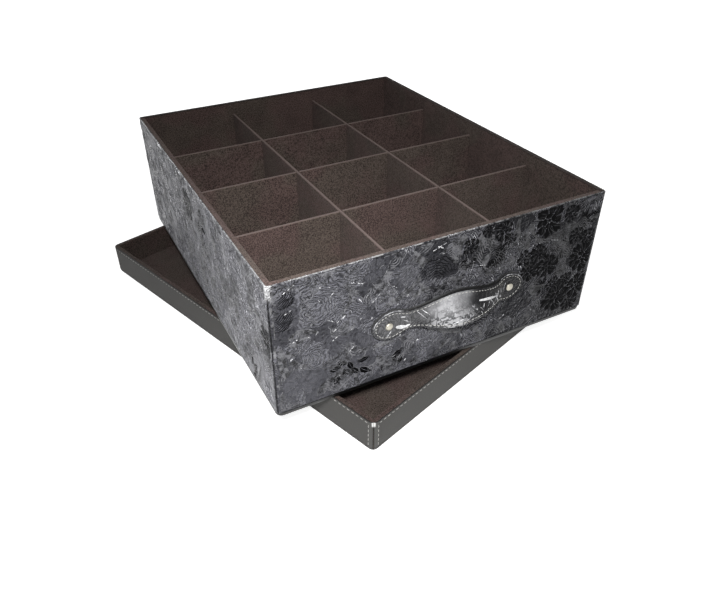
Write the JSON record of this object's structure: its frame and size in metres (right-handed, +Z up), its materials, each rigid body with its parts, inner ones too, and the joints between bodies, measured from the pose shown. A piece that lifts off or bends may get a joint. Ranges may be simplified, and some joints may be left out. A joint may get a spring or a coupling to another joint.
{
  "type": "presentation box",
  "caption": "Open rectangular box with velvet divider grid and a riveted strap handle, standing on its upturned lift-off lid.",
  "frame": {"origin": "on the floor under the middle of the upturned lid", "axes": "+X to the right along the wall with the handle, +Y from that wall towards the back, +Z up"},
  "size_m": [0.4762, 0.5206, 0.1713],
  "materials": {
    "embossed_leather": "satin black and grey leather with glossy embossed flowers",
    "plain_leatherette": "plain dark grey leatherette, matt",
    "lid_leatherette": "plain grey-brown leatherette, fine grain, matt, with pale stitching",
    "velvet": "short brown velvet pile",
    "fibre_board": "grey-brown pressed fibre board",
    "strap_leather": "embossed leather like the walls, satin, with pale stitching",
    "backing_leather": "plain dark leather, matt",
    "rivet_metal": "polished pale metal"
  },
  "bodies": {
    "lid": {"lid_front_cover": "lid_leatherette", "lid_front_board": "fibre_board", "lid_front_lining": "velvet", "lid_right_cover": "lid_leatherette", "lid_right_board": "fibre_board", "lid_right_lining": "velvet", "lid_back_cover": "lid_leatherette", "lid_back_board": "fibre_board", "lid_back_lining": "velvet", "lid_left_cover": "lid_leatherette", "lid_left_board": "fibre_board", "lid_left_lining": "velvet", "lid_panel_cover": "lid_leatherette", "lid_panel_board": "fibre_board", "lid_floor_lining": "velvet"},
    "box": {"front_cover": "embossed_leather", "front_board": "fibre_board", "front_lining": "velvet", "right_cover": "embossed_leather", "right_board": "fibre_board", "right_lining": "velvet", "back_cover": "embossed_leather", "back_board": "fibre_board", "back_lining": "velvet", "left_cover": "embossed_leather", "left_board": "fibre_board", "left_lining": "velvet", "base_cover": "plain_leatherette", "base_board": "fibre_board", "floor_lining": "velvet", "handle_strap": "strap_leather", "handle_backing": "backing_leather", "handle_rivet_left": "rivet_metal", "handle_rivet_right": "rivet_metal", "rivet_washer_left": "rivet_metal", "rivet_washer_right": "rivet_metal"},
    "divider_grid": {"cross_divider_front": "velvet", "cross_divider_middle": "velvet", "cross_divider_back": "velvet"},
    "long_divider_left": {"long_divider_left": "velvet"},
    "long_divider_right": {"long_divider_right": "velvet"}
  },
  "joints": [
    {"name": "box_lift", "type": "slide", "parent": "lid", "child": "box", "axis": [0, 0, 1], "range_m": [0, 0.15]},
    {"name": "grid_lift", "type": "slide", "parent": "box", "child": "divider_grid", "axis": [0, 0, 1], "range_m": [0, 0.135]},
    {"name": "long_divider_left_lift", "type": "slide", "parent": "divider_grid", "child": "long_divider_left", "axis": [0, 0, 1], "range_m": [0, 0.135]},
    {"name": "long_divider_right_lift", "type": "slide", "parent": "divider_grid", "child": "long_divider_right", "axis": [0, 0, 1], "range_m": [0, 0.135]}
  ]
}
